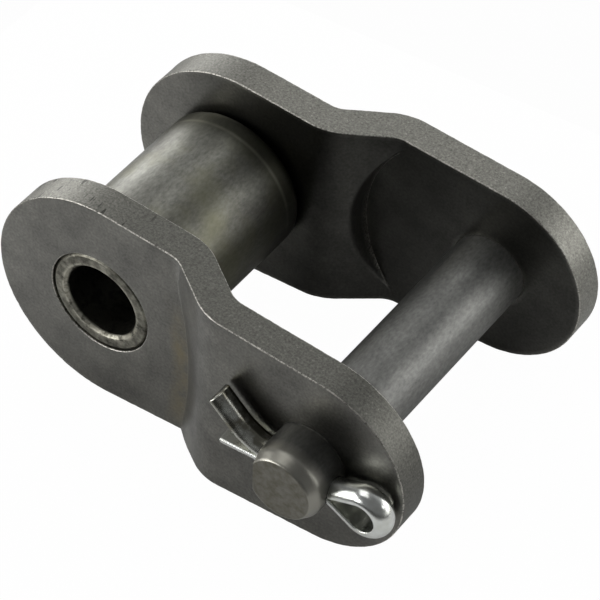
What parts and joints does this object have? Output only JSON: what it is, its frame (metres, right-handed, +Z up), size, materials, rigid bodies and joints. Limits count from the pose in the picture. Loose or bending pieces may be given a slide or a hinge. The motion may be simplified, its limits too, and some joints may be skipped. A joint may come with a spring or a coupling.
{
  "type": "roller chain offset link",
  "caption": "Cranked offset link of a roller chain, with a roller on a pressed bush and a keyed pin held by a spread split pin.",
  "frame": {"origin": "centre of the bush bore, midway between the plates", "axes": "+X from the bush axis to the pin axis, +Y along the bush and away from the split pin, +Z up"},
  "size_m": [0.0695, 0.0553, 0.0338],
  "materials": {
    "plate_steel": "oiled heat-treated satin",
    "bush_steel": "ground satin",
    "roller_steel": "turned satin",
    "pin_steel": "ground dark satin",
    "zinc_plated_wire": "bright zinc plate"
  },
  "bodies": {
    "link": {"front_plate": "plate_steel", "rear_plate": "plate_steel", "bushing": "bush_steel", "connecting_pin": "pin_steel", "cotter_pin": "zinc_plated_wire"},
    "roller": {"roller": "roller_steel"}
  },
  "joints": [
    {"name": "roller_spin", "type": "hinge", "parent": "link", "child": "roller", "pos_m": [0, 0, 0], "axis": [0, 1, 0], "continuous": true}
  ]
}
